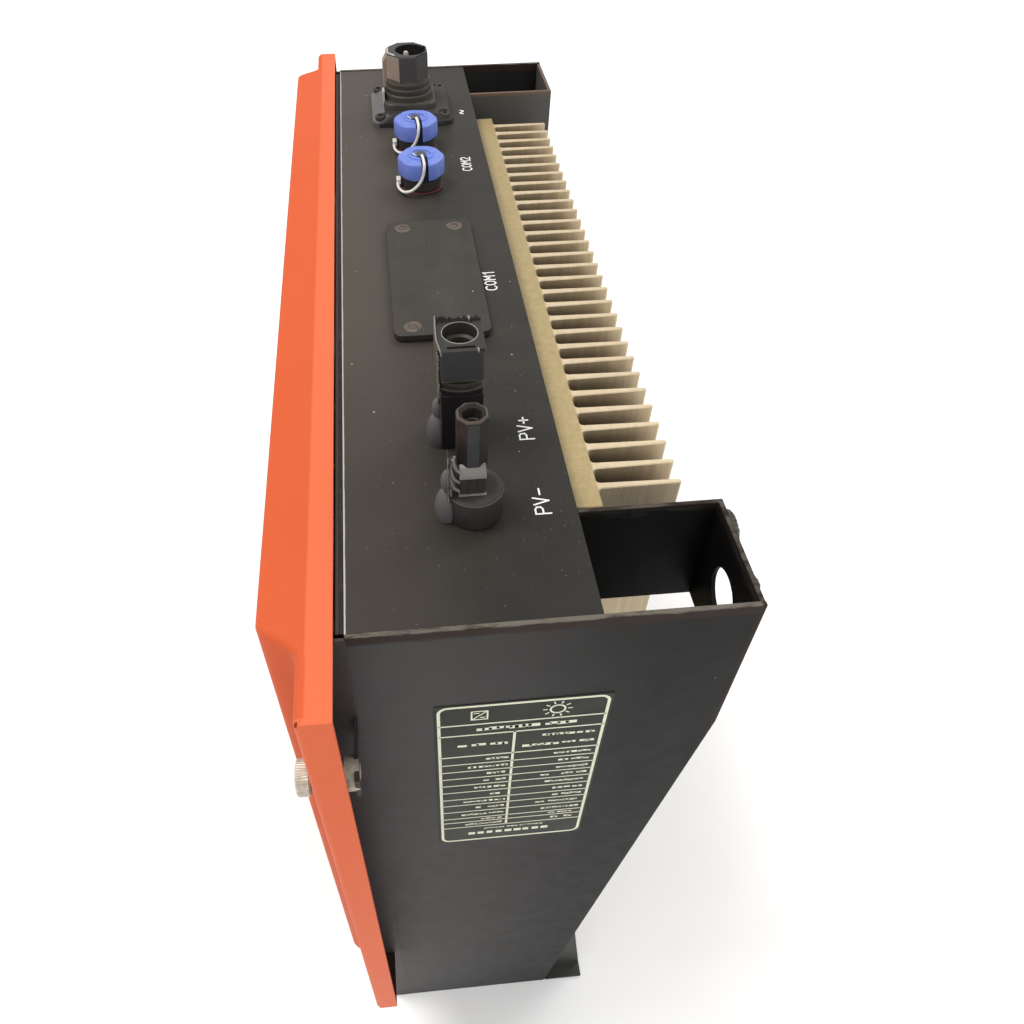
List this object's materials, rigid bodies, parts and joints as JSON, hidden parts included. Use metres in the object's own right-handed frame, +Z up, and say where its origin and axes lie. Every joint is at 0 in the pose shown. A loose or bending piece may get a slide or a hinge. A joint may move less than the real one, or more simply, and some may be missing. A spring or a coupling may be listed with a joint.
{
  "type": "string inverter",
  "caption": "Grid-tied solar string inverter: black sheet-steel case, orange front cover, finned heatsink, and a panel of sealed connectors.",
  "frame": {"origin": "middle of the base rectangle under the whole object, on the surface it stands on", "axes": "+Z up through the connector panel, -Y out of the orange front cover, +Y out of the heatsink and the wall side, +X across the case towards the rating label. On the wall it hangs the other way up: turn it by 180 degrees about Y."},
  "size_m": [0.501, 0.165, 0.4658],
  "materials": {
    "black_powder_coat": "black textured powder coat, chipped along the edges",
    "orange_powder_coat": "orange fine-textured powder coat",
    "seal_rubber": "black foam rubber",
    "zinc_steel": "dull zinc plate",
    "dull_screws": "weathered steel",
    "bare_brass": "tarnished brass",
    "nickel_knob": "worn nickel plate",
    "white_nylon": "white nylon",
    "champagne_anodised": "champagne anodised extrusion",
    "label_film": "satin printed film",
    "black_nylon": "black glass-filled nylon",
    "tinned_contact": "tin plate",
    "brass_contact": "bright brass",
    "red_seal": "dark red silicone",
    "blue_plastic": "moulded blue plastic",
    "green_board": "green solder mask",
    "blue_board": "blue solder mask",
    "capacitor_sleeve": "printed sleeve",
    "copper_winding": "enamelled copper",
    "black_moulding": "moulded plastic",
    "red_lead": "PVC insulation",
    "grey_lead": "PVC insulation",
    "clear_window": "clear acrylic",
    "clear_pipe": "frosted acrylic",
    "grey_key": "silicone key"
  },
  "bodies": {
    "root": {"connector_panel": "black_powder_coat", "back_plate": "black_powder_coat", "lower_end_plate": "black_powder_coat", "side_plate_right": "black_powder_coat", "side_plate_left": "black_powder_coat", "front_flanges": "black_powder_coat", "lid_gasket": "seal_rubber", "front_lid": "black_powder_coat", "lid_screws": "zinc_steel", "cover_hooks": "black_powder_coat", "screw_lugs": "bare_brass", "corner_channel_right": "black_powder_coat", "corner_channel_left": "black_powder_coat", "foot_bracket_right": "black_powder_coat", "foot_bracket_left": "black_powder_coat", "bracket_bolts": "zinc_steel", "heatsink": "champagne_anodised", "heatsink_seal": "seal_rubber", "rating_label": "label_film", "pv_minus_socket": "black_nylon", "pv_plus_socket": "black_nylon", "pv_contacts": "tinned_contact", "pv_lock_nuts": "black_nylon", "data_socket_1": "black_nylon", "data_socket_2": "black_nylon", "data_seals": "red_seal", "cap_tether_1": "white_nylon", "cap_tether_2": "white_nylon", "service_plate": "black_powder_coat", "service_seal": "seal_rubber", "service_screws": "dull_screws", "serial_socket": "zinc_steel", "ac_socket": "black_nylon", "ac_contacts": "brass_contact", "ac_screws": "dull_screws", "power_board": "green_board", "control_board": "blue_board", "board_standoffs": "zinc_steel", "dc_link_capacitors": "capacitor_sleeve", "boost_inductors": "copper_winding", "filter_inductors": "copper_winding", "grid_relays": "black_moulding", "power_modules": "black_moulding", "module_clamps": "zinc_steel", "dc_wires": "red_lead", "ac_wires": "grey_lead", "display_housing": "black_moulding", "display_board": "green_board", "light_pipes": "clear_pipe"},
    "thumb_slide_right": {"captive_washer_right": "white_nylon"},
    "thumb_right": {"thumb_screw_right": "nickel_knob"},
    "thumb_slide_left": {"captive_washer_left": "white_nylon"},
    "thumb_left": {"thumb_screw_left": "nickel_knob"},
    "cover": {"front_cover": "orange_powder_coat", "display_window": "clear_window"},
    "cap_slide_1": {"cap_rivet_1": "blue_plastic"},
    "cap_1": {"data_cap_1": "blue_plastic"},
    "cap_slide_2": {"cap_rivet_2": "blue_plastic"},
    "cap_2": {"data_cap_2": "blue_plastic"},
    "key": {"display_key": "grey_key"}
  },
  "joints": [
    {"name": "cover_tilt", "type": "hinge", "parent": "root", "child": "cover", "pos_m": [0, -0.0595, 0.09615], "axis": [1, 0, 0], "range_deg": [0, 35]},
    {"name": "thumb_travel_right", "type": "slide", "parent": "cover", "child": "thumb_slide_right", "axis": [0, -1, 0], "range_m": [0, 0.0056]},
    {"name": "thumb_turn_right", "type": "hinge", "parent": "thumb_slide_right", "child": "thumb_right", "pos_m": [0.2395, -0.0745, 0.367], "axis": [0, -1, 0], "range_deg": [0, 2520]},
    {"name": "thumb_travel_left", "type": "slide", "parent": "cover", "child": "thumb_slide_left", "axis": [0, -1, 0], "range_m": [0, 0.0056]},
    {"name": "thumb_turn_left", "type": "hinge", "parent": "thumb_slide_left", "child": "thumb_left", "pos_m": [-0.2395, -0.0745, 0.367], "axis": [0, -1, 0], "range_deg": [0, 2520]},
    {"name": "cap_travel_1", "type": "slide", "parent": "root", "child": "cap_slide_1", "axis": [0, 0, 1], "range_m": [0, 0.006], "deforming": ["cap_tether_1"]},
    {"name": "cap_turn_1", "type": "hinge", "parent": "cap_slide_1", "child": "cap_1", "pos_m": [-0.061, -0.012, 0.432], "axis": [0, 0, 1], "range_deg": [0, 1080]},
    {"name": "cap_travel_2", "type": "slide", "parent": "root", "child": "cap_slide_2", "axis": [0, 0, 1], "range_m": [0, 0.006], "deforming": ["cap_tether_2"]},
    {"name": "cap_turn_2", "type": "hinge", "parent": "cap_slide_2", "child": "cap_2", "pos_m": [-0.106, -0.012, 0.432], "axis": [0, 0, 1], "range_deg": [0, 1080]},
    {"name": "key_press", "type": "slide", "parent": "root", "child": "key", "axis": [0, 1, 0], "range_m": [0, 0.0012], "stiffness_N_per_m": 600}
  ],
  "couplings": [
    {"joint": "thumb_turn_right", "follows": "thumb_travel_right", "rad_per_m": 7854},
    {"joint": "thumb_turn_left", "follows": "thumb_travel_left", "rad_per_m": 7854},
    {"joint": "cap_turn_1", "follows": "cap_travel_1", "rad_per_m": 3141.6},
    {"joint": "cap_turn_2", "follows": "cap_travel_2", "rad_per_m": 3141.6}
  ]
}
